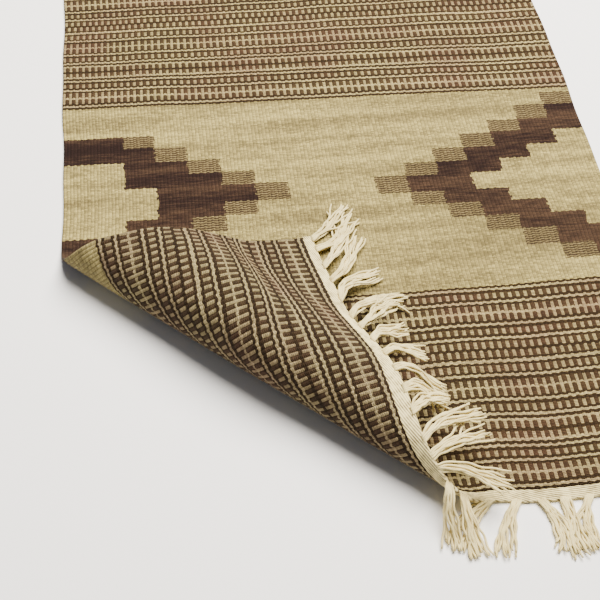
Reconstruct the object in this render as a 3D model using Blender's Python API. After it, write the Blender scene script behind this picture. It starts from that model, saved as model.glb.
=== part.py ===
"""A small flat-woven wool rug with its near left corner folded over on a soft roll.

The rug is one woven sheet. It is described flat, with u across it from the left selvedge and v along
its warps from the near end, and then placed: the corner past the fold line turns up round a roll,
comes down as a flap and lies over the rug. Each end has a narrow twined edge with the warp ends
hanging from it as locks, and the near one is parted where it leaves the floor. Metres, Z up, the
origin on the floor under the middle of the rug.
"""

import math

import bmesh
import bpy
from mathutils import Vector

# The cloth
WIDTH = 0.600
LENGTH = 0.770
THICKNESS = 0.003
SKEW = -0.028            # the wefts run a little out of square, as a rise per metre of width

# The fold: its line leaves the selvedge at FOLD_V and the near end at FOLD_U
FOLD_U = 0.400
FOLD_V = 0.345
ROLL_RADII = (0.0257, 0.0291, 0.0242)   # at the selvedge, halfway along and at the near end
FLAP_REST = 0.0060       # height of the flap's middle where it has come down
DESCENT_RATIO = 3.2      # length of the flap's way down for each metre that it drops

# The twined edge and the locks of warp
EDGE_GAP = 0.0003
EDGE_WIDTH = 0.0040
TASSELS = 30
LOCK_SPACING = 0.0066
LOCK_WIDTH = 0.0046
LOCK_TIP_WIDTH = 0.0030
LOCK_LENGTH = 0.052
LOCK_SEGMENTS = 5
LOCK_CLEARANCE = 0.0010  # between a lock and the rug that it lies on
FLAP_DROOP = 0.46        # how far a free lock sinks, as a share of its length
LOCK_RISE = 0.25         # the steepest that a lock leaves the edge, upwards
LEAN = 4.5               # of the tassels to either side, in degrees
SPLAY = 1.8              # of a tassel's two locks, in degrees
ROLL_FLOOR_U = 0.340     # from here on, the near end's locks lie on the floor

# Directions of the locks in plan along the folded end, in degrees from straight across the rug
FOLDED_EDGE = (
    # along the end, direction
    (0.000, 44.0),
    (0.030, 38.0),
    (0.070, 42.0),
    (0.110, 36.0),
    (0.160, 30.0),
    (0.210, 16.0),
    (0.260, 12.0),
    (0.295, 6.0),
    (0.315, -6.0),
    (0.335, -22.0),
    (0.345, -72.0),
    (0.375, -86.0),
    (0.405, -90.0),
)

# Spacing of the cuts that let the sheet bend
ROLL_CUT = 0.0062
FLAP_CUT = 0.0140
FOLD_CUT = 0.0240
FLAT_CUT = 0.110

MID = THICKNESS / 2
FOLD_LENGTH = math.hypot(FOLD_U, FOLD_V)
ALONG = (FOLD_U / FOLD_LENGTH, -FOLD_V / FOLD_LENGTH)
OUTWARD = (-FOLD_V / FOLD_LENGTH, -FOLD_U / FOLD_LENGTH)


def past_fold(u, v):
    """Distance of a flat point past the fold line, towards the folded corner."""
    return u * OUTWARD[0] + (v - FOLD_V) * OUTWARD[1]


def along_fold(u, v):
    """Distance of a flat point along the fold line, from the selvedge."""
    return u * ALONG[0] + (v - FOLD_V) * ALONG[1]


def roll_radius(a):
    """Radius of the roll: the parabola through its three radii."""
    x = a / FOLD_LENGTH
    left, middle, right = ROLL_RADII
    return left * (1 - x) * (1 - 2 * x) + middle * 4 * x * (1 - x) + right * x * (2 * x - 1)


def fold_section(s, a):
    """Place, height and turn of the sheet's middle, s past the fold line and a along it.

    It is flat before the line, a half circle round the roll, and then an S-shaped way down.
    """
    if s <= 0:
        return s, MID, 0.0
    radius = roll_radius(a)
    turn = s / radius
    if turn <= math.pi:
        return radius * math.sin(turn), MID + radius * (1 - math.cos(turn)), turn
    beyond = s - math.pi * radius
    drop = MID + 2 * radius - FLAP_REST
    way = DESCENT_RATIO * drop
    x = min(beyond / way, 1)
    height = FLAP_REST + drop * (1 - x * x * (3 - 2 * x))
    lost = 18 * way / DESCENT_RATIO ** 2 * (x ** 3 / 3 - x ** 4 / 2 + x ** 5 / 5)
    return lost - beyond, height, math.pi + math.asin(6 * x * (1 - x) / DESCENT_RATIO)


def place(u, v, w=0.0):
    """Point of the rug as it lies, for a flat point and its height w off the cloth's middle."""
    a = along_fold(u, v)
    p, z, turn = fold_section(past_fold(u, v), a)
    p -= w * math.sin(turn)
    z += w * math.cos(turn)
    x = a * ALONG[0] + p * OUTWARD[0] - WIDTH / 2
    y = FOLD_V + a * ALONG[1] + p * OUTWARD[1] - LENGTH / 2
    return Vector((x, y + SKEW * x, z))


def clear_scene():
    for obj in list(bpy.data.objects):
        bpy.data.objects.remove(obj, do_unlink=True)


def fibre(name, colour, roughness):
    """A plain Principled finish for wool or cotton."""
    material = bpy.data.materials.new(name)
    material.use_nodes = True
    shader = material.node_tree.nodes["Principled BSDF"]
    shader.inputs["Base Color"].default_value = (*colour, 1)
    shader.inputs["Roughness"].default_value = roughness
    shader.inputs["Metallic"].default_value = 0
    return material


def add_object(name, points, faces, material):
    mesh = bpy.data.meshes.new(name)
    mesh.from_pydata(points, [], faces)
    mesh.materials.append(material)
    mesh.shade_smooth()
    mesh.set_sharp_from_angle(angle=math.radians(40))
    obj = bpy.data.objects.new(name, mesh)
    bpy.context.collection.objects.link(obj)
    return obj


def cut(bm, faces, point, normal):
    """Cut the given faces of the flat sheet along a line, through point and square to normal."""
    geometry = set(faces)
    for face in faces:
        geometry.update(face.verts)
        geometry.update(face.edges)
    bmesh.ops.bisect_plane(
        bm, geom=list(geometry), dist=1e-6, plane_co=(*point, 0), plane_no=(*normal, 0)
    )


def corner_faces(bm):
    return [face for face in bm.faces if past_fold(*face.calc_center_median().xy) > 0]


def cut_range(first, last, step):
    count = round((last - first) / step)
    return [first + (last - first) * i / count for i in range(1, count)]


def flat_sheet():
    """The flat rectangle, cut along lines where it bends and into large squares elsewhere."""
    bm = bmesh.new()
    corners = [bm.verts.new((u, v, 0)) for u, v in ((0, 0), (WIDTH, 0), (WIDTH, LENGTH), (0, LENGTH))]
    bm.faces.new(corners)
    for u in cut_range(0, WIDTH, FLAT_CUT):
        cut(bm, bm.faces[:], (u, 0), (1, 0))
    for v in cut_range(0, LENGTH, FLAT_CUT):
        cut(bm, bm.faces[:], (0, v), (0, 1))
    cut(bm, bm.faces[:], (0, FOLD_V), OUTWARD)
    roll_end = math.pi * max(ROLL_RADII)
    depth = past_fold(0, 0)
    lines = cut_range(0, roll_end, ROLL_CUT) + [roll_end] + cut_range(roll_end, depth, FLAP_CUT)
    for s in lines:
        cut(bm, corner_faces(bm), (s * OUTWARD[0], FOLD_V + s * OUTWARD[1]), OUTWARD)
    for a in cut_range(0, FOLD_LENGTH, FOLD_CUT):
        cut(bm, corner_faces(bm), (a * ALONG[0], FOLD_V + a * ALONG[1]), ALONG)
    bmesh.ops.triangulate(bm, faces=bm.faces[:])
    bm.verts.index_update()
    return bm


def rug_cloth(material):
    """The sheet as one closed solid: an upper and a lower face and the edge between them."""
    bm = flat_sheet()
    flat = [vert.co.xy for vert in bm.verts]
    count = len(flat)
    points = [place(*co, MID) for co in flat] + [place(*co, -MID) for co in flat]
    faces = []
    for face in bm.faces:
        ring = [vert.index for vert in face.verts]
        faces.append(ring)
        faces.append([count + i for i in reversed(ring)])
    for edge in bm.edges:
        if edge.is_boundary:
            loop = edge.link_loops[0]
            start, end = loop.vert.index, loop.link_loop_next.vert.index
            faces.append([end, start, count + start, count + end])
    bm.free()
    return add_object("rug_cloth", points, faces, material)


def table_value(table, key):
    """Value read from a table with straight lines between its rows."""
    for (low, first), (high, second) in zip(table, table[1:]):
        if key <= high:
            return first + (second - first) * (key - low) / (high - low)
    return table[-1][1]


def lock_places(outward):
    """Each lock's place along the end, its direction in degrees and whether it lies on the floor.

    Two locks leave each tassel's place, a little splayed, and one where the folded end turns up
    round the roll. The tassels lean slowly to and fro.
    """
    pitch = WIDTH / TASSELS
    locks = []
    for tassel in range(TASSELS):
        centre = (tassel + 0.5) * pitch
        lean = LEAN * math.sin(0.9 * tassel + 0.6)
        on_near_roll = outward < 0 and 0 < past_fold(centre, 0) < 2 * ROLL_RADII[2]
        for side in (0,) if on_near_roll else (-1, 1):
            u = centre + side * LOCK_SPACING / 2
            if outward > 0:
                locks.append((u, 90 - lean - SPLAY * side, True))
            elif centre > ROLL_FLOOR_U:
                locks.append((u, table_value(FOLDED_EDGE, u) + lean + SPLAY * side, True))
            else:
                locks.append((u, table_value(FOLDED_EDGE, u) + lean - SPLAY * side, False))
    return locks


def lock_path(root, start, degrees, on_floor):
    """Middle points of one lock: a cubic curve from its root that levels out where it lies."""
    heading = Vector((math.cos(math.radians(degrees)), math.sin(math.radians(degrees)), 0))
    rest = MID if on_floor else max(THICKNESS + LOCK_CLEARANCE + MID, root.z - FLAP_DROOP * LOCK_LENGTH)
    run = math.sqrt(LOCK_LENGTH ** 2 - (root.z - rest) ** 2)
    end = Vector((root.x, root.y, rest)) + heading * run
    handle = LOCK_LENGTH / 3
    start = Vector((start.x, start.y, min(start.z, LOCK_RISE))).normalized()
    first = root + start * handle
    first.z = max(first.z, rest)
    second = end - heading * handle
    second.z += 0.35 * (root.z - rest)
    path = []
    for i in range(1, LOCK_SEGMENTS + 1):
        t = i / LOCK_SEGMENTS
        path.append(
            root * (1 - t) ** 3 + first * 3 * t * (1 - t) ** 2 + second * 3 * t * t * (1 - t) + end * t ** 3
        )
    return path


def fringe(name, end_v, outward, first, last, material):
    """The twined edge from first to last across the rug with its locks, as one closed solid.

    The edge is a bar of four corners carried along the end of the cloth. Each lock goes on from
    the bar's outer wall, between two of the bar's sections.
    """
    inner = end_v + outward * EDGE_GAP
    outer = end_v + outward * (EDGE_GAP + EDGE_WIDTH)
    locks = [lock for lock in lock_places(outward) if first < lock[0] < last]
    stations = [first]
    for u, _, _ in locks:
        stations += [u - LOCK_WIDTH / 2, u + LOCK_WIDTH / 2]
    stations.append(last)
    points = []
    for u in stations:
        points += [place(u, inner, -MID), place(u, outer, -MID), place(u, outer, MID), place(u, inner, MID)]
    end = 4 * (len(stations) - 1)
    faces = [[0, 1, 2, 3], [end + 3, end + 2, end + 1, end]]
    for i in range(len(stations) - 1):
        for side in range(4):
            a, b = 4 * i + side, 4 * i + (side + 1) % 4
            wall = [a, a + 4, b + 4, b]
            if side == 1 and i % 2 == 1:
                faces += add_lock(points, wall, locks[i // 2], outer, outward)
            else:
                faces.append(wall)
    if outward > 0:
        faces = [face[::-1] for face in faces]
    return add_object(name, points, faces, material)


def add_lock(points, wall, lock, outer, outward):
    """Carry the wall's four corners along the lock's path, adding its points, and close the tip."""
    u, degrees, on_floor = lock
    root = place(u, outer)
    start = (place(u, outer + outward * EDGE_GAP) - root).normalized()
    across = (points[wall[1]] - points[wall[0]]).normalized()
    last_up = points[wall[3]] - points[wall[0]]
    ring = list(wall)
    faces = []
    previous = root
    for step, centre in enumerate(lock_path(root, start, degrees, on_floor), 1):
        t = step / LOCK_SEGMENTS
        tangent = (centre - previous).normalized()
        level = Vector((-tangent.y, tangent.x, 0)).normalized()
        if level.dot(across) < 0:
            level.negate()
        side = across.lerp(level, math.sqrt(t)).normalized()
        up = tangent.cross(side).normalized()
        if up.dot(last_up) < 0:
            up.negate()
        half_width = (LOCK_WIDTH + (LOCK_TIP_WIDTH - LOCK_WIDTH) * t) / 2
        base = len(points)
        for left_right, down_up in ((-1, -1), (1, -1), (1, 1), (-1, 1)):
            corner = centre + side * left_right * half_width + up * down_up * MID
            corner.z = max(corner.z, 0)
            points.append(corner)
        new_ring = [base, base + 1, base + 2, base + 3]
        for k in range(4):
            n = (k + 1) % 4
            faces.append([ring[k], ring[n], new_ring[n], new_ring[k]])
        ring = new_ring
        previous = centre
        last_up = up
    faces.append(ring)
    return faces


def build():
    clear_scene()
    wool = fibre("woven_wool", (0.34, 0.24, 0.15), 0.9)
    cotton = fibre("cotton_warp_ends", (0.78, 0.72, 0.55), 0.85)
    rug_cloth(wool)
    fringe("fringe_flap", 0.0, -1, 0.0, FOLD_U - EDGE_GAP / 2, cotton)
    fringe("fringe_near", 0.0, -1, FOLD_U + EDGE_GAP / 2, WIDTH, cotton)
    fringe("fringe_far", LENGTH, 1, 0.0, WIDTH, cotton)


build()
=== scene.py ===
"""The looks of a small flat-woven wool rug that lies with its near left corner folded over.

The cloth is worked out flat, with u across it from the left selvedge and v along its warps from the
near end, and then laid: past the fold line it turns up round a soft roll and comes down as a flap.
The twined heading and the warp ends follow the same fold. Metres, Z up.
"""

import math

import bpy
import numpy as np
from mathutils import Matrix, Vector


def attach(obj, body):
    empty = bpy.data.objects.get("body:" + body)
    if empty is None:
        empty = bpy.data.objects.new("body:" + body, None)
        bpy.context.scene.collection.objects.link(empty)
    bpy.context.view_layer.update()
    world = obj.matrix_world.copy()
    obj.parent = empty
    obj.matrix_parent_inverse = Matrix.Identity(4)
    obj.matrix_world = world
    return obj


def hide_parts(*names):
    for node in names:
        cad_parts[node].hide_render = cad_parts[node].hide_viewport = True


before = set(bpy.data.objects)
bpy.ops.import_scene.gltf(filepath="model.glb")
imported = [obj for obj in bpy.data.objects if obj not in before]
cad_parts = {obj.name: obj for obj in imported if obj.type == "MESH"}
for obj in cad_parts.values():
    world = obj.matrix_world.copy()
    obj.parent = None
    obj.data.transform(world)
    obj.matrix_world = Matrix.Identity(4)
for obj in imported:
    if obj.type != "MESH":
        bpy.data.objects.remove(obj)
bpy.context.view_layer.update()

# The cloth
# A weft-faced plain weave: thick warps make ribs along the rug, and hand-spun wool wefts, beaten down
# over them, make the pattern. It is woven in one piece, so the same pattern shows on both faces and
# the folded corner shows it reversed.

WIDTH = 0.600
LENGTH = 0.770
THICKNESS = 0.003
SKEW = -0.028
FOLD_U = 0.400
FOLD_V = 0.345
ROLL_RADII = (0.0257, 0.0291, 0.0242)
FLAP_REST = 0.0060
DESCENT_RATIO = 3.2
MID = THICKNESS / 2
FOLD_LENGTH = math.hypot(FOLD_U, FOLD_V)
ALONG = (FOLD_U / FOLD_LENGTH, -FOLD_V / FOLD_LENGTH)
OUTWARD = (-FOLD_V / FOLD_LENGTH, -FOLD_U / FOLD_LENGTH)

RIB = 0.004              # from one warp to the next
RIB_DEPTH = 0.00045      # how far the cloth draws in between two warps
CLOTH_END = 0.0103       # the cloth's last weft, under the heading
FINE_ROW = 0.0060        # spacing of the mesh's rows where the cloth is folded
LONG_ROW = 0.0110        # and where it is flat
COLUMNS = 3 * round(WIDTH / RIB) + 1    # of points across a face
WANDER = 0.0009          # unevenness of the selvedges and ends
SELVEDGE_WAVES = ((1.0, 23, 1.1), (0.6, 61, 0.4))
END_WAVES = ((1.0, 19, 0.5), (0.6, 53, 2.0))
LIFT = 0.0007            # how far the flat cloth rises off the floor in places
DRAW_IN = 0.006          # of the left selvedge past the fold
DRAW_IN_V = (0.22, 0.32)
DRAW_IN_REACH = 0.09     # across the cloth
END_BOW = 0.004          # of the near end, inwards, where the roll presses on it
END_BOW_U = 0.388
END_BOW_HALF = 0.022
END_BOW_REACH = 0.055    # along the cloth
CORNER_DRAW = 0.008      # of the folded corner's end, inwards
CORNER_U = (0.10, 0.20)
CORNER_V = (0.04, 0.13)
FLAP_WAVE = 0.008        # height of the soft wave along the flap, behind the heading
WAVE_RISE_V = (0.065, 0.11)
WAVE_FALL_V = (0.14, 0.22)
WAVE_PAST_FOLD = (0.040, 0.085)
FLAP_RIPPLE = 0.005      # of the flap, up off the roll and down again further on
RIPPLE_UP = 0.118        # past the fold line
RIPPLE_DOWN = 0.182
RIPPLE_REACH = 0.024


def smooth(x, low, high):
    """Rise from 0 at low to 1 at high, as t * t * (3 - 2 * t)."""
    t = np.clip((x - low) / (high - low), 0, 1)
    return t * t * (3 - 2 * t)


def waves(x, table):
    """Sum of slow sines, size * sin(rate * x + start) for each row of the table."""
    return sum(size * np.sin(rate * x + start) for size, rate, start in table)


def past_fold(u, v):
    """Distance of a flat point past the fold line, towards the folded corner."""
    return u * OUTWARD[0] + (v - FOLD_V) * OUTWARD[1]


def fold_section(s, a):
    """Place, height and turn of the sheet's middle, s past the fold line and a along it.

    Flat before the line, then a half circle round the roll, then a way down whose height falls as
    x * x * (3 - 2 * x). The roll's radius is the parabola through its three values.
    """
    x = np.clip(a / FOLD_LENGTH, -0.05, 1.05)
    left, middle, right = ROLL_RADII
    radius = left * (1 - x) * (1 - 2 * x) + middle * 4 * x * (1 - x) + right * x * (2 * x - 1)
    turn = np.clip(s / radius, 0, math.pi)
    beyond = np.maximum(s - math.pi * radius, 0)
    drop = MID + 2 * radius - FLAP_REST
    way = DESCENT_RATIO * drop
    x = np.minimum(beyond / way, 1)
    lost = 18 * way / DESCENT_RATIO ** 2 * (x ** 3 / 3 - x ** 4 / 2 + x ** 5 / 5)
    p = np.minimum(s, 0) + radius * np.sin(turn) + lost - beyond
    z = MID + radius * (1 - np.cos(turn)) - drop * x * x * (3 - 2 * x)
    return p, z, turn + np.arcsin(6 * x * (1 - x) / DESCENT_RATIO)


def place(u, v, w=0.0):
    """Points of the rug as it lies, for flat points and their height w off the cloth's middle.

    The edges wander by slow sines, and the whole sheet rises off the floor by a product of two. The
    left selvedge draws in past the fold, the near end bows inwards by a bell, exp(-x * x), beside the
    roll, and on the flap the corner draws in and a wave lifts the cloth behind the heading. Two more
    bells, of the distance past the fold, first lift the flap and then lower it, so that it comes
    down more steeply.
    """
    across = 2 * u / WIDTH - 1
    along = 2 * v / LENGTH - 1
    shift = WANDER * across * waves(v, SELVEDGE_WAVES)
    shift = shift + DRAW_IN * smooth(v, *DRAW_IN_V) * np.clip(1 - u / DRAW_IN_REACH, 0, 1)
    bow = WANDER * along * waves(u, END_WAVES)
    bell = np.exp(-(((u - END_BOW_U) / END_BOW_HALF) ** 2))
    bow = bow + END_BOW * bell * np.clip(1 - v / END_BOW_REACH, 0, 1)
    bow = bow + CORNER_DRAW * (1 - smooth(u, *CORNER_U)) * (1 - smooth(v, *CORNER_V))
    wave = FLAP_WAVE * smooth(v, *WAVE_RISE_V) * (1 - smooth(v, *WAVE_FALL_V))
    w = w + LIFT * (0.5 + 0.5 * np.sin(31 * u + 9 * v) * np.sin(27 * v - 11 * u + 1))
    s = past_fold(u, v)
    lift = np.exp(-(((s - RIPPLE_UP) / RIPPLE_REACH) ** 2))
    dip = np.exp(-(((s - RIPPLE_DOWN) / RIPPLE_REACH) ** 2))
    w = w - wave * smooth(s, *WAVE_PAST_FOLD) - FLAP_RIPPLE * (lift - dip)
    u = u + shift
    v = v + bow
    a = u * ALONG[0] + (v - FOLD_V) * ALONG[1]
    p, z, turn = fold_section(past_fold(u, v), a)
    p = p - w * np.sin(turn)
    z = z + w * np.cos(turn)
    x = a * ALONG[0] + p * OUTWARD[0] - WIDTH / 2
    y = FOLD_V + a * ALONG[1] + p * OUTWARD[1] - LENGTH / 2
    return np.stack([x, y + SKEW * x, z], axis=-1)


def add_mesh(name, points, quads, uvs, material):
    """Object of four-cornered faces from arrays of points, faces and a place on the UV map a corner."""
    mesh = bpy.data.meshes.new(name)
    mesh.vertices.add(len(points))
    mesh.vertices.foreach_set("co", points.astype(np.float32).ravel())
    mesh.loops.add(quads.size)
    mesh.loops.foreach_set("vertex_index", quads.astype(np.int32).ravel())
    mesh.polygons.add(len(quads))
    mesh.polygons.foreach_set("loop_start", np.arange(0, quads.size, 4, dtype=np.int32))
    mesh.update(calc_edges=True)
    mesh.validate()
    mesh.uv_layers.new(name="flat").data.foreach_set("uv", uvs.astype(np.float32).ravel())
    mesh.shade_smooth()
    mesh.materials.append(material)
    obj = bpy.data.objects.new(name, mesh)
    bpy.context.scene.collection.objects.link(obj)
    return obj


def sleeve(points, flat):
    """Closed strip through rings of points, with its UV corners.

    Half of a ring is the upper face and half the lower one, back the other way, so the two end
    rings are closed by bridging a point to the one under it.
    """
    rows, ring = points.shape[:2]
    start = (np.arange(rows - 1) * ring)[:, None]
    here = np.arange(ring)[None, :]
    after = (here + 1) % ring
    walls = np.stack([start + here, start + after, start + ring + after, start + ring + here], -1)
    upper = np.arange(ring // 2 - 1)
    lower = ring - 1 - upper
    near_end = np.stack([lower, lower - 1, upper + 1, upper], -1)
    far_end = near_end[:, ::-1] + (rows - 1) * ring
    quads = np.concatenate([walls.reshape(-1, 4), near_end, far_end])
    points = points.reshape(-1, 3).copy()
    points[:, 2] = np.maximum(points[:, 2], 0)
    return points, quads, flat.reshape(-1, 2)[quads].reshape(-1, 2)


def cloth_mesh():
    """The closed sheet: a grid of upper and lower points, three columns a rib, bridged all round.

    Half the thickness is MID on a rib's crest and RIB_DEPTH less in the groove beside it.
    """
    column = np.arange(COLUMNS)
    u = column * RIB / 3
    half = np.where(column % 3 == 0, MID - RIB_DEPTH, MID)
    fine = np.arange(CLOTH_END, FOLD_V + FINE_ROW, FINE_ROW)
    long_rows = round((LENGTH - FOLD_V) / LONG_ROW)
    long = np.linspace(fine[-1], LENGTH - CLOTH_END, long_rows)
    v = np.concatenate([fine, long[1:]])
    grid_u = np.concatenate([u, u[::-1]])
    grid_w = np.concatenate([half, -half[::-1]])
    points = place(grid_u[None, :], v[:, None], grid_w[None, :])
    return sleeve(points, np.stack(np.broadcast_arrays(grid_u[None, :], v[:, None]), -1))


def linear(code, alpha=1.0):
    """Linear colour of an sRGB hex code: c / 12.92 below 0.04045, ((c + 0.055) / 1.055) ** 2.4 above."""
    parts = [int(code[i:i + 2], 16) / 255 for i in (1, 3, 5)]
    return (*[c / 12.92 if c < 0.04045 else ((c + 0.055) / 1.055) ** 2.4 for c in parts], alpha)


def add_node(tree, kind, feeds, out=0, **settings):
    """Add a node with its settings, give each fed socket its value or link, and return one output."""
    made = tree.nodes.new(kind)
    for name, value in settings.items():
        setattr(made, name, value)
    for socket, value in feeds.items():
        if isinstance(value, bpy.types.NodeSocket):
            tree.links.new(value, made.inputs[socket])
        else:
            made.inputs[socket].default_value = value
    return made.outputs[out]


MATH = "ShaderNodeMath"
MIX = "ShaderNodeMix"
NOISE = "ShaderNodeTexNoise"
RANGE = "ShaderNodeMapRange"
SMOOTH = "SMOOTHSTEP"

CREAM = "#ae9f62"
CREAM_SHADE = "#85774c"
BAND_CREAM = "#aa9b6a"
BAND_CREAM_PINK = "#9d8763"
BAND_BROWN = "#423420"
BAND_BROWN_WARM = "#453122"
BAND_LINE = "#322515"
FIELD_PLUM = "#261815"
FIELD_RUST = "#473527"
HATCH_PALE = "#80714c"
HATCH_DARK = "#3a2c1e"
REVERSE_PAINTED_SHADE = "#e4e4ee"    # painted shade over both colours, on the reverse face that the fold turns from the light

# The banded border from the heading inwards, a letter a row: b brown, c cream, and where the wefts
# change from warp to warp, k and s cream on even ribs and t cream on odd ones
BAND_ROWS = "bcbkckbcbsbcbckbkcbcbsbcbkckbcbsbcbtbsbcbsbcbkckbcbsbcb"
ROW_HEIGHTS = {"b": 0.0031, "c": 0.00285, "k": 0.0075, "s": 0.0069, "t": 0.0074}
BAND_START = 0.0105
BAND_END = 0.2400
FAR_BAND = 0.5300
STRIP = {"k": 0.34, "s": 0.14, "t": 0.14}    # a strip covers where the rib's sine is past this

# Two stepped hollow diamonds, each cut through by a selvedge. A row of steps starts at its height
# along the rug and holds, for the left one, the first brown step and the hatched one that ends it.
# The right one is the same all the way: brown where steps across and steps from the middle are 4 or 5.
STEP_WIDTH = 0.036
FAR_STEP = 20            # further out than any, for no such step, and a full colour on the chart
CHART_ROOM = 1.1         # of the rows' height, so that the last row has its place on the chart
DIAMOND_ROWS = (
    # start, first brown step, hatched step, rows from the middle one
    (0.2450, FAR_STEP, FAR_STEP, 6),
    (0.2670, FAR_STEP, FAR_STEP, 5),
    (0.2890, 0, 2, 4),
    (0.3130, 0, 3, 3),
    (0.3355, 2, 4, 2),
    (0.3570, 3, 5, 1),
    (0.3760, 3, 6, 0),
    (0.4005, 2, 5, 1),
    (0.4200, 2, 4, 2),
    (0.4405, 0, 3, 3),
    (0.4615, 0, 2, 4),
    (0.4810, FAR_STEP, FAR_STEP, 5),
    (0.5030, FAR_STEP, FAR_STEP, 6),
    (0.5225, FAR_STEP, FAR_STEP, FAR_STEP),
)
RIGHT_BROWN = 4.5        # halfway between 4 and 5
RIGHT_HATCH = 6.0        # the hatched step, one further out
HATCH = 0.0033           # two wefts of the thin brown and cream lines beside the steps
SAG = -0.032             # the field's wefts run further out of square than the bands
SAG_RISE_V = (0.24, 0.40)
SAG_FALL_V = (0.55, 0.77)
END_DRIFT = 0.004        # of the near band's rows towards the end, at the right
DRIFT_U = (0.38, 0.47)
DRIFT_RISE_V = (0.02, 0.06)
DRIFT_FALL_V = (0.06, 0.30)
WAVER = 0.0022           # of a weft, laid in by hand
WEFT_STEP = 0.30         # of a bead, up on one rib and down on the next
RAGGED = 0.0008          # unevenness of a row's edge
STRIP_RAGGED = 0.9       # and of a strip's side
DOVETAIL = 0.0034        # of a step's side, pair of wefts by pair of wefts
BEAD = 0.0017            # one weft over a rib
SPOT_DEPTH = 0.26        # share of brown that shows through a strip of cream
BATCH = (3.2, 50.0, 1.0)     # changes from batch to batch of yarn, across and along the rug, a metre
STREAK = (50.0, 480.0, 1.0)  # the same of the streaks in one yarn
FLECK = 700.0                # and of its hairs and kemps


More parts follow.
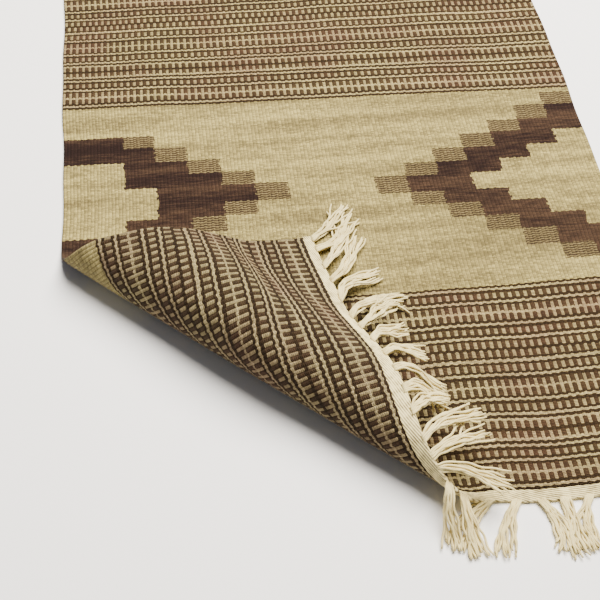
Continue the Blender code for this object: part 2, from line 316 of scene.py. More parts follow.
def woven_wool():
    """Hand-spun wool: matt, hairy, each weft a bead over its warp, its dye uneven by the batch."""
    material = bpy.data.materials.new("woven_wool_weft")
    material.use_nodes = True
    tree = material.node_tree
    shader = tree.nodes["Principled BSDF"]
    flat = add_node(tree, "ShaderNodeUVMap", {}, uv_map="flat")
    u = add_node(tree, "ShaderNodeSeparateXYZ", {0: flat}, 0)
    v = add_node(tree, "ShaderNodeSeparateXYZ", {0: flat}, 1)

    # Ribs: a sine that is up on even ribs and down on odd ones, and its size, which is 0 in a groove
    turn = add_node(tree, MATH, {0: u, 1: math.pi / RIB}, operation="MULTIPLY")
    wave = add_node(tree, MATH, {0: turn}, operation="SINE")
    rib = add_node(tree, MATH, {0: wave}, operation="ABSOLUTE")

    # A weft's place: it wavers by hand, rises on one rib and falls on the next, and sags in the field
    waver = add_node(tree, NOISE, {"Vector": flat, "Scale": 28.0, "Detail": 2.0})
    waver = add_node(tree, MATH, {0: waver, 1: 0.5}, operation="SUBTRACT")
    row = add_node(tree, MATH, {0: waver, 1: WAVER, 2: v}, operation="MULTIPLY_ADD")
    row = add_node(tree, MATH, {0: wave, 1: WEFT_STEP * BEAD, 2: row}, operation="MULTIPLY_ADD")
    ragged = add_node(tree, NOISE, {"Vector": flat, "Scale": 430.0, "Detail": 1.0})
    ragged = add_node(tree, MATH, {0: ragged, 1: 0.5}, operation="SUBTRACT")
    row = add_node(tree, MATH, {0: ragged, 1: 2 * RAGGED, 2: row}, operation="MULTIPLY_ADD")
    low, high = SAG_RISE_V
    rise = add_node(tree, RANGE, {0: v, 1: low, 2: high, 3: 0.0, 4: 1.0}, interpolation_type=SMOOTH)
    low, high = SAG_FALL_V
    fall = add_node(tree, RANGE, {0: v, 1: low, 2: high, 3: 1.0, 4: 0.0}, interpolation_type=SMOOTH)
    sag = add_node(tree, MATH, {0: rise, 1: fall}, operation="MULTIPLY")
    side = add_node(tree, MATH, {0: u, 1: WIDTH / 2}, operation="SUBTRACT")
    sag = add_node(tree, MATH, {0: sag, 1: side}, operation="MULTIPLY")
    row = add_node(tree, MATH, {0: sag, 1: -SAG, 2: row}, operation="MULTIPLY_ADD")
    low, high = DRIFT_U
    right = add_node(tree, RANGE, {0: u, 1: low, 2: high, 3: 0.0, 4: 1.0}, interpolation_type=SMOOTH)
    low, high = DRIFT_RISE_V
    rise = add_node(tree, RANGE, {0: v, 1: low, 2: high, 3: 0.0, 4: 1.0}, interpolation_type=SMOOTH)
    low, high = DRIFT_FALL_V
    fall = add_node(tree, RANGE, {0: v, 1: low, 2: high, 3: 1.0, 4: 0.0}, interpolation_type=SMOOTH)
    drift = add_node(tree, MATH, {0: rise, 1: fall}, operation="MULTIPLY")
    drift = add_node(tree, MATH, {0: drift, 1: right}, operation="MULTIPLY")
    row = add_node(tree, MATH, {0: drift, 1: END_DRIFT, 2: row}, operation="MULTIPLY_ADD")

    # The bands: red holds an even rib's cream, green an odd rib's and blue how wide the strip is, over
    # two ramps of half the rows
    far = add_node(tree, MATH, {0: row, 1: (BAND_END + FAR_BAND) / 2}, operation="GREATER_THAN")
    back = BAND_START - FAR_BAND
    inset = add_node(tree, MATH, {0: far, 1: back, 2: -BAND_START}, operation="MULTIPLY_ADD")
    inset = add_node(tree, MATH, {0: row, 1: inset}, operation="ADD")
    share = add_node(tree, MATH, {0: inset, 1: BAND_END - BAND_START}, operation="DIVIDE")
    heights = np.array([ROW_HEIGHTS[letter] for letter in BAND_ROWS])
    starts = np.concatenate([[0], np.cumsum(heights)[:-1]]) / heights.sum()
    half_rows = len(BAND_ROWS) // 2
    halves = []
    for first, last in ((0, half_rows), (half_rows, len(BAND_ROWS))):
        chart = add_node(tree, "ShaderNodeValToRGB", {0: share}).node
        chart.color_ramp.interpolation = "CONSTANT"
        for index in range(first, last):
            letter = BAND_ROWS[index]
            stop = chart.color_ramp.elements[0]
            if index > first:
                stop = chart.color_ramp.elements.new(starts[index])
            stop.color = (letter in "cks", letter in "ct", STRIP.get(letter, 0), 1)
        chart.color_ramp.elements.remove(chart.color_ramp.elements[-1])
        halves.append(chart.outputs[0])
    second = add_node(tree, MATH, {0: share, 1: starts[half_rows]}, operation="GREATER_THAN")
    chart = add_node(tree, MIX, {0: second, 6: halves[0], 7: halves[1]}, 2, data_type="RGBA")
    even = add_node(tree, "ShaderNodeSeparateColor", {0: chart}, 0)
    odd = add_node(tree, "ShaderNodeSeparateColor", {0: chart}, 1)
    strip = add_node(tree, "ShaderNodeSeparateColor", {0: chart}, 2)
    both = add_node(tree, MATH, {0: even, 1: odd}, operation="MINIMUM")
    neither = add_node(tree, MATH, {0: even, 1: odd}, operation="MAXIMUM")
    neither = add_node(tree, MATH, {0: neither, 1: 0.5}, operation="LESS_THAN")
    strip = add_node(tree, MATH, {0: ragged, 1: STRIP_RAGGED, 2: strip}, operation="MULTIPLY_ADD")
    below = add_node(tree, MATH, {0: strip, 1: -1.0}, operation="MULTIPLY")
    on_even = add_node(tree, MATH, {0: wave, 1: strip}, operation="GREATER_THAN")
    on_odd = add_node(tree, MATH, {0: wave, 1: below}, operation="LESS_THAN")
    even = add_node(tree, MATH, {0: even, 1: on_even}, operation="MULTIPLY")
    odd = add_node(tree, MATH, {0: odd, 1: on_odd}, operation="MULTIPLY")
    cream = add_node(tree, MATH, {0: even, 1: odd}, operation="MAXIMUM")
    cream = add_node(tree, MATH, {0: cream, 1: 1 - SPOT_DEPTH}, operation="MULTIPLY")
    cream = add_node(tree, MATH, {0: cream, 1: both}, operation="MAXIMUM")
    band_brown = add_node(tree, MATH, {0: 1.0, 1: cream}, operation="SUBTRACT")

    # The diamonds: the row's numbers from the chart against the step's number from its own selvedge,
    # whose sides are dovetailed, a pair of wefts at a time
    pair = add_node(tree, MATH, {0: row, 1: 2 * BEAD}, operation="DIVIDE")
    pair = add_node(tree, MATH, {0: pair}, operation="FLOOR")
    joint = add_node(tree, "ShaderNodeTexWhiteNoise", {"W": pair}, 0, noise_dimensions="1D")
    joint = add_node(tree, MATH, {0: joint, 1: 0.5}, operation="SUBTRACT")
    step_u = add_node(tree, MATH, {0: joint, 1: DOVETAIL, 2: u}, operation="MULTIPLY_ADD")
    low = DIAMOND_ROWS[0][0]
    tall = CHART_ROOM * (DIAMOND_ROWS[-1][0] - low)
    on_chart = add_node(tree, RANGE, {0: row, 1: low, 2: low + tall, 3: 0.0, 4: 1.0})
    chart = add_node(tree, "ShaderNodeValToRGB", {0: on_chart}).node
    chart.color_ramp.interpolation = "CONSTANT"
    for start, first, last, rows_off in DIAMOND_ROWS:
        stop = chart.color_ramp.elements[0]
        if start > low:
            stop = chart.color_ramp.elements.new((start - low) / tall)
        stop.color = (first / FAR_STEP, last / FAR_STEP, rows_off / FAR_STEP, 1)
    chart.color_ramp.elements.remove(chart.color_ramp.elements[-1])
    first = add_node(tree, "ShaderNodeSeparateColor", {0: chart.outputs[0]}, 0)
    last = add_node(tree, "ShaderNodeSeparateColor", {0: chart.outputs[0]}, 1)
    reach = add_node(tree, "ShaderNodeSeparateColor", {0: chart.outputs[0]}, 2)
    left = add_node(tree, MATH, {0: step_u, 1: STEP_WIDTH}, operation="DIVIDE")
    left = add_node(tree, MATH, {0: left}, operation="FLOOR")
    left = add_node(tree, MATH, {0: left, 1: 0.0}, operation="MAXIMUM")
    past_first = add_node(tree, MATH, {0: first, 1: -FAR_STEP, 2: left}, operation="MULTIPLY_ADD")
    past_first = add_node(tree, MATH, {0: past_first, 1: -0.5}, operation="GREATER_THAN")
    past_last = add_node(tree, MATH, {0: last, 1: -FAR_STEP, 2: left}, operation="MULTIPLY_ADD")
    before_last = add_node(tree, MATH, {0: past_last, 1: -0.5}, operation="LESS_THAN")
    left_brown = add_node(tree, MATH, {0: past_first, 1: before_last}, operation="MULTIPLY")
    left_hatch = add_node(tree, MATH, {0: past_last, 1: 0.0, 2: 0.5}, operation="COMPARE")
    right = add_node(tree, MATH, {0: WIDTH, 1: step_u}, operation="SUBTRACT")
    right = add_node(tree, MATH, {0: right, 1: STEP_WIDTH}, operation="DIVIDE")
    right = add_node(tree, MATH, {0: right}, operation="FLOOR")
    right = add_node(tree, MATH, {0: right, 1: 0.0}, operation="MAXIMUM")
    reach = add_node(tree, MATH, {0: reach, 1: FAR_STEP, 2: right}, operation="MULTIPLY_ADD")
    right_brown = add_node(tree, MATH, {0: reach, 1: RIGHT_BROWN, 2: 1.0}, operation="COMPARE")
    right_hatch = add_node(tree, MATH, {0: reach, 1: RIGHT_HATCH, 2: 0.5}, operation="COMPARE")
    hatch = add_node(tree, MATH, {0: left_hatch, 1: right_hatch}, operation="MAXIMUM")
    lines = add_node(tree, MATH, {0: row, 1: 2 * math.pi / HATCH}, operation="MULTIPLY")
    lines = add_node(tree, MATH, {0: lines}, operation="SINE")
    lines = add_node(tree, RANGE, {0: lines, 1: -0.7, 2: 0.5, 3: 0.0, 4: 1.0})
    field_brown = add_node(tree, MATH, {0: left_brown, 1: right_brown}, operation="MAXIMUM")
    halfway = (BAND_END + FAR_BAND) / 2
    in_field = add_node(tree, MATH, {0: row, 1: halfway, 2: FAR_BAND - halfway}, operation="COMPARE")
    brown = add_node(tree, MIX, {0: in_field, 2: band_brown, 3: field_brown}, data_type="FLOAT")

    # The dye: streaks a weft thick and some warps long, slow changes from batch to batch of yarn, and
    # each bead of hand-spun wool a little lighter or darker than the next; then painted shade, darker in
    # the groove between two ribs and over the whole reverse face
    batch = add_node(tree, "ShaderNodeMapping", {0: flat, 3: BATCH})
    batch = add_node(tree, NOISE, {"Vector": batch, "Scale": 1.0, "Detail": 3.0})
    streak = add_node(tree, "ShaderNodeMapping", {0: flat, 3: STREAK})
    streak = add_node(tree, NOISE, {"Vector": streak, "Scale": 1.0, "Detail": 2.0})
    hue = add_node(tree, NOISE, {"Vector": flat, "Scale": 12.0, "Detail": 2.0})
    fleck = add_node(tree, NOISE, {"Vector": flat, "Scale": FLECK, "Detail": 2.0})
    rib_at = add_node(tree, MATH, {0: u, 1: RIB}, operation="DIVIDE")
    rib_at = add_node(tree, MATH, {0: rib_at}, operation="FLOOR")
    odd_rib = add_node(tree, MATH, {0: wave, 1: 0.0}, operation="LESS_THAN")
    bead = add_node(tree, MATH, {0: row, 1: BEAD}, operation="DIVIDE")
    bead = add_node(tree, MATH, {0: odd_rib, 1: 0.5, 2: bead}, operation="MULTIPLY_ADD")
    bead_at = add_node(tree, MATH, {0: bead}, operation="FLOOR")
    bead_at = add_node(tree, "ShaderNodeCombineXYZ", {0: rib_at, 1: bead_at})
    grain = add_node(tree, "ShaderNodeTexWhiteNoise", {"Vector": bead_at}, 0, noise_dimensions="2D")
    tone = add_node(tree, MATH, {0: streak, 1: 0.5, 2: batch}, operation="MULTIPLY_ADD")
    tone = add_node(tree, MATH, {0: grain, 1: 0.16, 2: tone}, operation="MULTIPLY_ADD")
    tone = add_node(tree, RANGE, {0: tone, 1: 0.63, 2: 1.01, 3: 0.0, 4: 1.0})
    hue = add_node(tree, RANGE, {0: hue, 1: 0.4, 2: 0.64, 3: 0.0, 4: 1.0})
    field_cream = add_node(
        tree, MIX, {0: tone, 6: linear(CREAM_SHADE), 7: linear(CREAM)}, 2, data_type="RGBA"
    )
    band_cream = add_node(
        tree, MIX, {0: hue, 6: linear(BAND_CREAM), 7: linear(BAND_CREAM_PINK)}, 2, data_type="RGBA"
    )
    wool_cream = add_node(tree, MIX, {0: in_field, 6: band_cream, 7: field_cream}, 2, data_type="RGBA")
    abrash = add_node(tree, MATH, {0: streak, 1: 0.8, 2: batch}, operation="MULTIPLY_ADD")
    lower = add_node(tree, RANGE, {0: v, 1: 0.31, 2: 0.42, 3: 0.17, 4: -0.06})
    abrash = add_node(tree, MATH, {0: abrash, 1: lower}, operation="ADD")
    right_yarn = add_node(tree, RANGE, {0: u, 1: 0.30, 2: 0.50, 3: -0.06, 4: 0.05})
    abrash = add_node(tree, MATH, {0: abrash, 1: right_yarn}, operation="ADD")
    abrash = add_node(tree, RANGE, {0: abrash, 1: 0.76, 2: 1.10, 3: 0.0, 4: 1.0})
    field_dye = add_node(
        tree, MIX, {0: abrash, 6: linear(FIELD_PLUM), 7: linear(FIELD_RUST)}, 2, data_type="RGBA"
    )
    band_dye = add_node(
        tree, MIX, {0: hue, 6: linear(BAND_BROWN), 7: linear(BAND_BROWN_WARM)}, 2, data_type="RGBA"
    )
    band_dye = add_node(tree, MIX, {0: neither, 6: band_dye, 7: linear(BAND_LINE)}, 2, data_type="RGBA")
    wool_brown = add_node(tree, MIX, {0: in_field, 6: band_dye, 7: field_dye}, 2, data_type="RGBA")
    wool = add_node(tree, MIX, {0: brown, 6: wool_cream, 7: wool_brown}, 2, data_type="RGBA")
    hatched = add_node(
        tree, MIX, {0: lines, 6: linear(HATCH_PALE), 7: linear(HATCH_DARK)}, 2, data_type="RGBA"
    )
    hatch = add_node(tree, MATH, {0: hatch, 1: in_field}, operation="MULTIPLY")
    wool = add_node(tree, MIX, {0: hatch, 6: wool, 7: hatched}, 2, data_type="RGBA")
    tone_and_groove_brightness = add_node(tree, RANGE, {0: grain, 1: 0.0, 2: 1.0, 3: 0.84, 4: 1.12})
    tone = add_node(tree, RANGE, {0: tone, 1: 0.0, 2: 1.0, 3: 0.88, 4: 1.12})
    tone_and_groove_brightness = add_node(tree, MATH, {0: tone_and_groove_brightness, 1: tone}, operation="MULTIPLY")
    fleck_tone = add_node(tree, RANGE, {0: fleck, 1: 0.3, 2: 0.7, 3: 0.74, 4: 1.16})
    tone_and_groove_brightness = add_node(tree, MATH, {0: tone_and_groove_brightness, 1: fleck_tone}, operation="MULTIPLY")
    # Painted shade: darker down in the groove between two ribs, where rib is 0
    groove = add_node(tree, RANGE, {0: rib, 1: 0.0, 2: 0.60, 3: 0.46, 4: 1.0})
    tone_and_groove_brightness = add_node(tree, MATH, {0: tone_and_groove_brightness, 1: groove}, operation="MULTIPLY")
    tone_and_groove_shade = add_node(tree, "ShaderNodeCombineColor", {0: tone_and_groove_brightness, 1: tone_and_groove_brightness, 2: tone_and_groove_brightness})
    wool = add_node(
        tree, MIX, {0: 1.0, 6: wool, 7: tone_and_groove_shade}, 2, data_type="RGBA", blend_type="MULTIPLY"
    )
    # Painted shade: the reverse face, which shows on the folded flap, is made duller and a little cooler
    reverse = add_node(tree, "ShaderNodeAttribute", {}, 2, attribute_name="reverse")
    reverse_shade = linear(REVERSE_PAINTED_SHADE)
    wool = add_node(
        tree, MIX, {0: reverse, 6: wool, 7: reverse_shade}, 2, data_type="RGBA", blend_type="MULTIPLY"
    )
    tree.links.new(wool, shader.inputs["Base Color"])

    # Relief: the rib's round back, a bead for each weft, half a weft later on the next rib, and hairs
    bead = add_node(tree, MATH, {0: bead, 1: math.pi}, operation="MULTIPLY")
    bead = add_node(tree, MATH, {0: bead}, operation="SINE")
    bead = add_node(tree, MATH, {0: bead}, operation="ABSOLUTE")
    relief = add_node(tree, MATH, {0: bead, 1: rib}, operation="MULTIPLY")
    relief = add_node(tree, MATH, {0: fleck, 1: 0.5, 2: relief}, operation="MULTIPLY_ADD")
    bump = add_node(tree, "ShaderNodeBump", {"Height": relief, "Strength": 1.0, "Distance": 0.0008})
    tree.links.new(bump, shader.inputs["Normal"])
    shader.inputs["Roughness"].default_value = 0.92
    shader.inputs["Specular IOR Level"].default_value = 0.12
    shader.inputs["Sheen Weight"].default_value = 0.025
    shader.inputs["Sheen Roughness"].default_value = 0.5
    shader.inputs["Sheen Tint"].default_value = linear("#e8dcc4")
    return material


cloth = add_mesh("cloth", *cloth_mesh(), woven_wool())
# Marks the lower, reverse face, for the material's painted shade
on_reverse = np.arange(len(cloth.data.vertices)) % (2 * COLUMNS) >= COLUMNS
reverse = cloth.data.attributes.new("reverse", "FLOAT", "POINT")
reverse.data.foreach_set("value", on_reverse.astype(np.float32))
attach(cloth, "root")
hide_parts("rug_cloth")

# The headings
# The warps of each end are twined together in close rows of undyed cotton, which stop the wefts from
# slipping off. Beaten together they make a firm band of fine slanting ridges, and the near one goes
# on round the fold.

HEADING_HALF = 0.0060
HEADING_MIDDLE = 0.0053  # of the band, from the end of the rug
HEADING_THICK = 0.0022   # half of its thickness
HEADING_RIDGE = 0.0022   # from one ridge to the next
HEADING_SLANT = 0.0072   # along the band, for a ridge to move by one pitch
RIDGE_DEPTH = 0.00080
EDGE_LEFT = 0.0002       # added under the root, so that the two faces don't meet at the edges
RIDGE_WANDER = 0.3       # of a ridge, as the twining tightens and loosens
HEADING_WANDER = 0.03    # of the band's breadth
HEADING_OVER = 0.0004    # past each selvedge
NEAR_BREADTHS = (0.90, 0.93, 1.2, 1.0)    # the near band's, at these places along it
NEAR_BREADTHS_AT = (0, 0.12, 0.25, 0.36)
HEADING_COLUMNS = 24
HEADING_STEP = 0.0012


def heading_mesh(end_v, inward):
    """The band as a closed strip with a soft edge, whose faces sink between the ridges.

    Half its thickness at a share x of its half width is the fourth root of 1 - x ** 8, less a
    cosine that follows the slanting ridges. V counts the ridges across the band, half a ridge on,
    so that the cotton's dark lines of painted shade fall in the grooves between them.
    """
    x = np.linspace(-1, 1, HEADING_COLUMNS + 1)
    x = np.concatenate([x, x[::-1]])
    face = np.repeat([-1.0, 1.0], HEADING_COLUMNS + 1)
    u = np.linspace(-HEADING_OVER, WIDTH + HEADING_OVER, round(WIDTH / HEADING_STEP))[:, None]
    breadth = np.interp(u, NEAR_BREADTHS_AT, NEAR_BREADTHS) if inward > 0 else 1.0
    breadth = HEADING_HALF * (breadth + HEADING_WANDER * np.sin(260 * u))
    off = -breadth * x[None, :]
    across = off / HEADING_RIDGE + RIDGE_WANDER * np.sin(90 * u)
    ridge = np.cos(2 * math.pi * (across + u / HEADING_SLANT))
    half = HEADING_THICK * (EDGE_LEFT + 1 - x ** 8) ** 0.25
    half = half - RIDGE_DEPTH * (0.5 - 0.5 * ridge) * (1 - x ** 8)
    points = place(u, end_v + inward * HEADING_MIDDLE + off, -half * face)
    flat = np.stack(np.broadcast_arrays(u, 0.5 - across), -1)
    return sleeve(points, flat)


COTTON = "#efdfa3"
# The dark end of the heading's colour: painted shade in the grooves of the twining, and darker patches
HEADING_TONE_AND_GROOVE_SHADE = "#5f4e2c"


def cotton(name, turn, plies, tone_and_groove_shade):
    """Undyed spun cotton: off-white, matt, painted shade in the grooves of its twist, hairs in relief.
    """
    material = bpy.data.materials.new(name)
    material.use_nodes = True
    tree = material.node_tree
    shader = tree.nodes["Principled BSDF"]
    flat = add_node(tree, "ShaderNodeUVMap", {}, uv_map="flat")
    along = add_node(tree, "ShaderNodeSeparateXYZ", {0: flat}, 0)
    round_it = add_node(tree, "ShaderNodeSeparateXYZ", {0: flat}, 1)
    slant = add_node(tree, MATH, {0: along, 1: 1 / turn}, operation="MULTIPLY")
    slant = add_node(tree, MATH, {0: slant, 1: round_it}, operation="SUBTRACT")
    slant = add_node(tree, MATH, {0: slant, 1: math.pi * plies}, operation="MULTIPLY")
    twist = add_node(tree, MATH, {0: slant}, operation="SINE")
    twist = add_node(tree, MATH, {0: twist}, operation="ABSOLUTE")
    place_at = add_node(tree, "ShaderNodeTexCoord", {}, 3)
    patch = add_node(tree, NOISE, {"Vector": place_at, "Scale": 130.0, "Detail": 3.0})
    hair = add_node(tree, NOISE, {"Vector": place_at, "Scale": 900.0, "Detail": 2.0})
    # Painted shade: the grooves of the twist, where twist is 0, take the dark colour; patch adds random
    # tone
    tone = add_node(tree, MATH, {0: twist, 1: 0.5, 2: patch}, operation="MULTIPLY_ADD")
    tone = add_node(tree, RANGE, {0: tone, 1: 0.46, 2: 0.98, 3: 0.0, 4: 1.0})
    colour = add_node(
        tree, MIX, {0: tone, 6: linear(tone_and_groove_shade), 7: linear(COTTON)}, 2, data_type="RGBA"
    )
    tree.links.new(colour, shader.inputs["Base Color"])
    relief = add_node(tree, MATH, {0: hair, 1: 0.4, 2: twist}, operation="MULTIPLY_ADD")
    bump = add_node(tree, "ShaderNodeBump", {"Height": relief, "Strength": 0.6, "Distance": 0.0003})
    tree.links.new(bump, shader.inputs["Normal"])
    shader.inputs["Roughness"].default_value = 0.85
    shader.inputs["Specular IOR Level"].default_value = 0.25
    shader.inputs["Sheen Weight"].default_value = 0.05
    return material


heading_cotton = cotton("twined_cotton", HEADING_SLANT, 1, HEADING_TONE_AND_GROOVE_SHADE)
heading_near = add_mesh("heading_near", *heading_mesh(0.0, 1), heading_cotton)
heading_far = add_mesh("heading_far", *heading_mesh(LENGTH, -1), heading_cotton)
for heading in (heading_near, heading_far):
    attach(heading, "root")

# The tassels
# The ends of the warps, left uncut past the heading in bunches of thick soft yarn. On the folded
# corner they leave the flap's edge and droop onto the rug, and along the rest of the end they lie
# on the floor.

STRANDS = 12             # in a tassel
STRAND_RADIUS = 0.00116
STRAND_SIDES = 6
STRAND_SECTIONS = 22
STRAND_TURN = 0.0036     # along a strand, for a whole turn of its plies
UNEVEN_LENGTH = 0.12     # share by which the strands' lengths differ
BUNCH = (0.0036, 0.0030, 0.0046, 0.0084)   # half a tassel's width at these shares of its length
BUNCH_AT = (0.0, 0.16, 0.42, 1.0)
FLOOR_SPREAD = 1.05      # how much wider a tassel lies on the floor
BUNCH_THICK = 0.0014     # half its thickness
FLOOR_U = 0.325          # the near tassels past this place come down on the floor
BEND = 9                 # of a whole tassel to and fro, in degrees
TILT = 3                 # of a strand from its tassel, in degrees
STRAY_SHARE = 0.16       # of the strands, that part from the others
STRAY_TURN = 26          # and by how many degrees
LAYER = 0.8              # a strand's place up or down in the bunch, from its middle to its skin
ROOT_LAYER = 0.0004      # and in the heading, in metres
WANDERS = (0.0011, 0.0006)    # of a strand sideways, slow and quick
RISE = 0.0009            # of a strand off what it lies on
PHASES = 6.3             # a whole turn in radians, for the starts of the sines
NEAR_TASSELS = np.array([
    # along the end in mm, first and last direction in degrees from straight across, length in mm,
    # and the share of that by which it can come down
    (4, 34, 56, 62, 0.50),
    (19, 16, 57, 64, 0.50),
    (47, 51, 64, 66, 0.50),
    (70, 39, 71, 76, 0.50),
    (100, 76, 19, 72, 0.50),
    (127, 62, 4, 78, 0.50),
    (146, 41, 26, 56, 0.22),
    (170, 50, 10, 52, 0.40),
    (193, 32, -26, 46, 0.18),
    (216, 17, -34, 63, 0.47),
    (240, 24, -44, 56, 0.44),
    (264, 47, -9, 46, 0.22),
    (291, 46, 6, 72, 0.20),
    (308, 38, 11, 64, 0.15),
    (320, 2, -32, 68, 0.16),
    (337, -98, -84, 58, 0.50),
    (356, -95, -80, 56, 0.50),
    (386, -150, -112, 58, 0.50),
    (409, -122, -98, 56, 0.50),
    (430, -60, -108, 52, 0.50),
    (452, -92, -72, 56, 0.50),
    (475, -118, -88, 54, 0.50),
    (498, -78, -106, 57, 0.50),
    (521, -108, -90, 53, 0.50),
    (545, -74, -98, 56, 0.50),
    (568, -102, -80, 55, 0.50),
    (590, -72, -94, 52, 0.50),
])
FAR_TASSELS = 26
ROOT_INSET = 0.0012      # of a strand's root into the heading
RUG_TOP = THICKNESS + LIFT


def tubes(centres, radius, across, sides):
    """Closed tubes along rows of centres: points, four-cornered faces and UV corners.

    Each ring is the centre plus radius times (n cos a + b sin a). The first n is square to the
    tangent and to across, and each next one is the last one laid square to the new tangent.
    The radius is one value, or an array of tube, section and side. U runs along a tube in metres
    and V once round it.
    """
    count, sections = centres.shape[:2]
    tangents = np.gradient(centres, axis=1)
    tangents /= np.linalg.norm(tangents, axis=-1, keepdims=True)
    normals = np.empty_like(tangents)
    last = np.cross(tangents[:, 0], across)
    for k in range(sections):
        last = last - np.sum(last * tangents[:, k], -1, keepdims=True) * tangents[:, k]
        last /= np.linalg.norm(last, axis=-1, keepdims=True)
        normals[:, k] = last
    others = np.cross(tangents, normals)
    angle = 2 * math.pi * np.arange(sides) / sides
    radius = np.broadcast_to(radius, (count, sections, sides))[..., None]
    ring = normals[:, :, None] * np.cos(angle)[:, None] + others[:, :, None] * np.sin(angle)[:, None]
    points = (centres[:, :, None] + radius * ring).reshape(-1, 3)
    tube = (np.arange(count) * sections * sides)[:, None, None]
    section = (np.arange(sections - 1) * sides)[:, None]
    side = np.arange(sides)
    after = (side + 1) % sides
    base = tube + section
    walls = np.stack([base + side, base + after, base + sides + after, base + sides + side], -1)
    run = np.linalg.norm(np.diff(centres, axis=1), axis=-1)
    run = np.concatenate([np.zeros((count, 1)), np.cumsum(run, axis=1)], axis=1)
    low = np.broadcast_to(run[:, :-1, None], walls.shape[:3])
    high = np.broadcast_to(run[:, 1:, None], walls.shape[:3])
    here = np.broadcast_to(side / sides, walls.shape[:3])
    there = here + 1 / sides
    wall_uvs = np.stack([low, here, low, there, high, there, high, here], -1).reshape(-1, 2)
    fan = np.arange(1, sides - 2, 2)
    lid = np.stack([np.zeros_like(fan), fan, fan + 1, fan + 2], -1)
    far_lids = (tube + (sections - 1) * sides + lid).reshape(-1, 4)
    near_lids = (tube + lid[:, ::-1]).reshape(-1, 4)
    quads = np.concatenate([walls.reshape(-1, 4), near_lids, far_lids])
    lid_uvs = np.zeros((4 * (len(near_lids) + len(far_lids)), 2))
    return points, quads, np.concatenate([wall_uvs, lid_uvs])


def strand_paths(table, end_v, outward, seed):
    """Middle lines of the strands of the tassels in a table, as an array of strand, section and place.

    A tassel's own line turns evenly from its first direction to its last, with a slow bend more, and
    comes down by t * t * (3 - 2 * t) as far as its length lets it or to what lies under it. A strand
    keeps its share of the bunch's width and thickness along that line, moves half of the way to
    another strand's share towards the end, and wavers about it.
    """
    rng = np.random.default_rng(seed)
    tassels = len(table)
    count = tassels * STRANDS
    t = np.linspace(0, 1, STRAND_SECTIONS)[None, :]
    centre, first, last, length, droop = table.T.repeat(STRANDS, axis=1)
    centre = centre / 1000
    length = length / 1000 * (1 + rng.uniform(-UNEVEN_LENGTH, 0.4 * UNEVEN_LENGTH, count))
    side = np.tile(np.linspace(-1, 1, STRANDS), tassels) + rng.uniform(-0.16, 0.16, count)
    layer = np.tile(np.where(np.arange(STRANDS) % 2, LAYER, -LAYER), tassels)
    layer = layer + rng.uniform(-0.3, 0.3, count)
    order = rng.permuted(np.tile(np.arange(STRANDS), (tassels, 1)), axis=1)
    mixed = (order + np.arange(tassels)[:, None] * STRANDS).ravel()
    bend = rng.uniform(-BEND, BEND, tassels).repeat(STRANDS)[:, None]
    phase = rng.uniform(0, PHASES, tassels).repeat(STRANDS)[:, None]
    degrees = first[:, None] + (last - first)[:, None] * smooth(t, 0.05, 0.85)
    degrees = degrees + bend * (np.sin(6.5 * t + phase) - np.sin(phase))
    degrees = degrees + rng.normal(0, TILT, count)[:, None]
    stray = np.where(rng.uniform(0, 1, count) < STRAY_SHARE, rng.normal(0, STRAY_TURN, count), 0)
    angle = np.radians(degrees + stray[:, None] * t ** 1.5)
    root_u = np.clip(centre + side * BUNCH[0], STRAND_RADIUS, WIDTH - STRAND_RADIUS)
    root_v = np.full(count, end_v - outward * ROOT_INSET)
    root = place(root_u, root_v, -layer * ROOT_LAYER)
    middle = place(centre, root_v)
    on_floor = (outward > 0) | (centre > FLOOR_U)
    ground = np.where(on_floor, 0.0, RUG_TOP) + STRAND_RADIUS
    rest = np.maximum(ground, middle[:, 2] - droop * length)
    drop = (root[:, 2] - rest)[:, None]
    slope = 6 * t * (1 - t) * drop / length[:, None]
    pace = length[:, None] * np.sqrt(np.maximum(1 - slope ** 2, 0.05)) / (STRAND_SECTIONS - 1)
    steps = np.stack([np.cos(angle), np.sin(angle)], -1) * pace[..., None]
    path = np.empty((count, STRAND_SECTIONS, 3))
    path[:, :, :2] = root[:, None, :2] + np.cumsum(steps, axis=1) - steps[:, :1]
    path[:, :, 2] = root[:, None, 2] - drop * t * t * (3 - 2 * t)
    sideways = np.stack([-np.sin(angle), np.cos(angle)], -1)
    spread = np.where(on_floor, FLOOR_SPREAD, 1.0)[:, None]
    width = np.interp(t, BUNCH_AT, BUNCH) * (1 + (spread - 1) * t)
    turned = np.sum((root - middle)[:, :2] * sideways[:, 0], -1)
    target = side[:, None] + (side[mixed] - side)[:, None] * 0.5 * smooth(t, 0.3, 1)
    offset = np.sign(turned)[:, None] * np.abs(target) * np.sign(side[:, None] * target) * width
    offset = (offset - turned[:, None]) * smooth(t, 0.0, 0.14)
    curl = rng.uniform(0, PHASES, (count, 2))
    slow, quick = WANDERS
    waver = slow * np.sin(8 * t + curl[:, :1]) + quick * np.sin(19 * t + curl[:, 1:])
    path[:, :, :2] += sideways * (offset + waver * np.minimum(4 * t, 1))[..., None]
    thick = BUNCH_THICK * layer[:, None] * smooth(t, 0.0, 0.12) * (1 - 0.35 * t)
    lowest = ground[:, None] + RISE * (1 + np.sin(13 * t + curl[:, 1:])) * smooth(t, 0.1, 0.4)
    path[:, :, 2] = np.maximum(path[:, :, 2] + thick + BUNCH_THICK, lowest)
    return path


def tassel_mesh(table, end_v, outward, seed):
    """Strands as six-sided tubes that thin a little towards their ends."""
    paths = strand_paths(table, end_v, outward, seed)
    thin = np.interp(np.linspace(0, 1, STRAND_SECTIONS), (0, 0.9, 1), (1, 0.95, 0.65))
    radius = STRAND_RADIUS * thin[None, :, None]
    return tubes(paths, radius, np.array([0.0, 0.0, 1.0]), STRAND_SIDES)
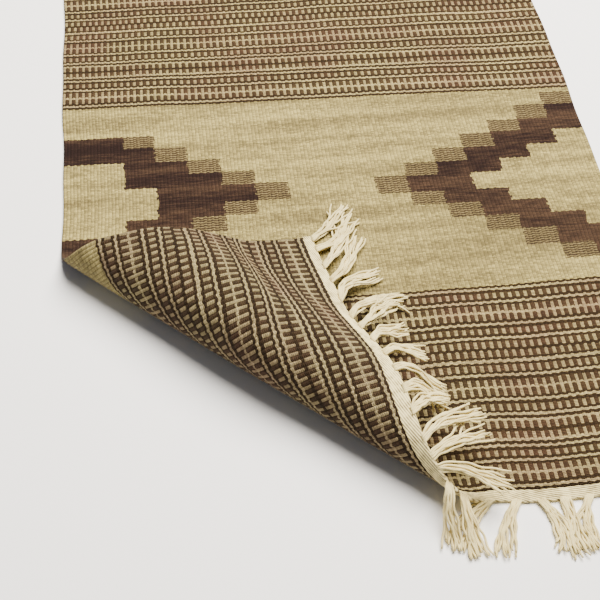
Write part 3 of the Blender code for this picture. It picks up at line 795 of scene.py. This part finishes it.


# The dark end of the strands' colour: painted shade in the grooves between plies, and darker patches
STRAND_TONE_AND_GROOVE_SHADE = "#b9a66c"
strand_cotton = cotton("cotton_warp_ends", STRAND_TURN, 3, STRAND_TONE_AND_GROOVE_SHADE)
lifted = NEAR_TASSELS[:, 0] < 1000 * FOLD_U
far_tassels = np.stack([
    (np.arange(FAR_TASSELS) + 0.5) * 1000 * WIDTH / FAR_TASSELS,
    90 + 16 * np.sin(2.2 * np.arange(FAR_TASSELS)),
    90 + 20 * np.sin(1.4 * np.arange(FAR_TASSELS) + 1),
    57 + 5 * np.sin(2.9 * np.arange(FAR_TASSELS)),
    np.full(FAR_TASSELS, 0.5),
], -1)
tassels_flap = add_mesh("tassels_flap", *tassel_mesh(NEAR_TASSELS[lifted], 0.0, -1, 3), strand_cotton)
tassels_near = add_mesh("tassels_near", *tassel_mesh(NEAR_TASSELS[~lifted], 0.0, -1, 5), strand_cotton)
tassels_far = add_mesh("tassels_far", *tassel_mesh(far_tassels, LENGTH, 1, 7), strand_cotton)
for tassels, node in (
    (tassels_flap, "fringe_flap"),
    (tassels_near, "fringe_near"),
    (tassels_far, "fringe_far"),
):
    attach(tassels, "root")
    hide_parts(node)

# The setting
# A plain white floor under a broad soft light from behind and to the right, with a low fill from all
# round, and the camera above the near end of the rug.

FLOOR = 6.0              # half of the floor's side
FLOOR_DROP = 0.0002      # under the rug, so that the two don't share a plane

floor_mesh = bpy.data.meshes.new("floor")
corners = [(-FLOOR, -FLOOR, 0), (FLOOR, -FLOOR, 0), (FLOOR, FLOOR, 0), (-FLOOR, FLOOR, 0)]
floor_mesh.from_pydata(corners, [], [(0, 1, 2, 3)])
floor = bpy.data.objects.new("floor", floor_mesh)
bpy.context.scene.collection.objects.link(floor)
floor.location.z = -FLOOR_DROP
paint = bpy.data.materials.new("matt_white_floor")
paint.use_nodes = True
paint.node_tree.nodes["Principled BSDF"].inputs["Base Color"].default_value = linear("#fcfcfc")
paint.node_tree.nodes["Principled BSDF"].inputs["Roughness"].default_value = 0.9
floor_mesh.materials.append(paint)

KEY_FROM = (0.58, 0.78, 2.08)
key_data = bpy.data.lights.new("key", "AREA")
key_data.shape = "DISK"
key_data.size = 2.0
key_data.energy = 266
key_data.color = linear("#fff8ee")[:3]
key = bpy.data.objects.new("key", key_data)
key.location = KEY_FROM
key.rotation_euler = (-Vector(KEY_FROM)).to_track_quat("-Z", "Y").to_euler()
bpy.context.scene.collection.objects.link(key)

world = bpy.data.worlds.new("room")
world.use_nodes = True
world.node_tree.nodes["Background"].inputs["Color"].default_value = linear("#eaedf4")
world.node_tree.nodes["Background"].inputs["Strength"].default_value = 0.17
bpy.context.scene.world = world

camera_data = bpy.data.cameras.new("camera")
camera_data.lens = 63.25
camera_data.sensor_width = 36
camera = bpy.data.objects.new("camera", camera_data)
camera.location = (-0.1340, -0.7651, 0.869)
camera.rotation_euler = (math.radians(35.92), 0, math.radians(-7.27))
bpy.context.scene.collection.objects.link(camera)
bpy.context.scene.camera = camera
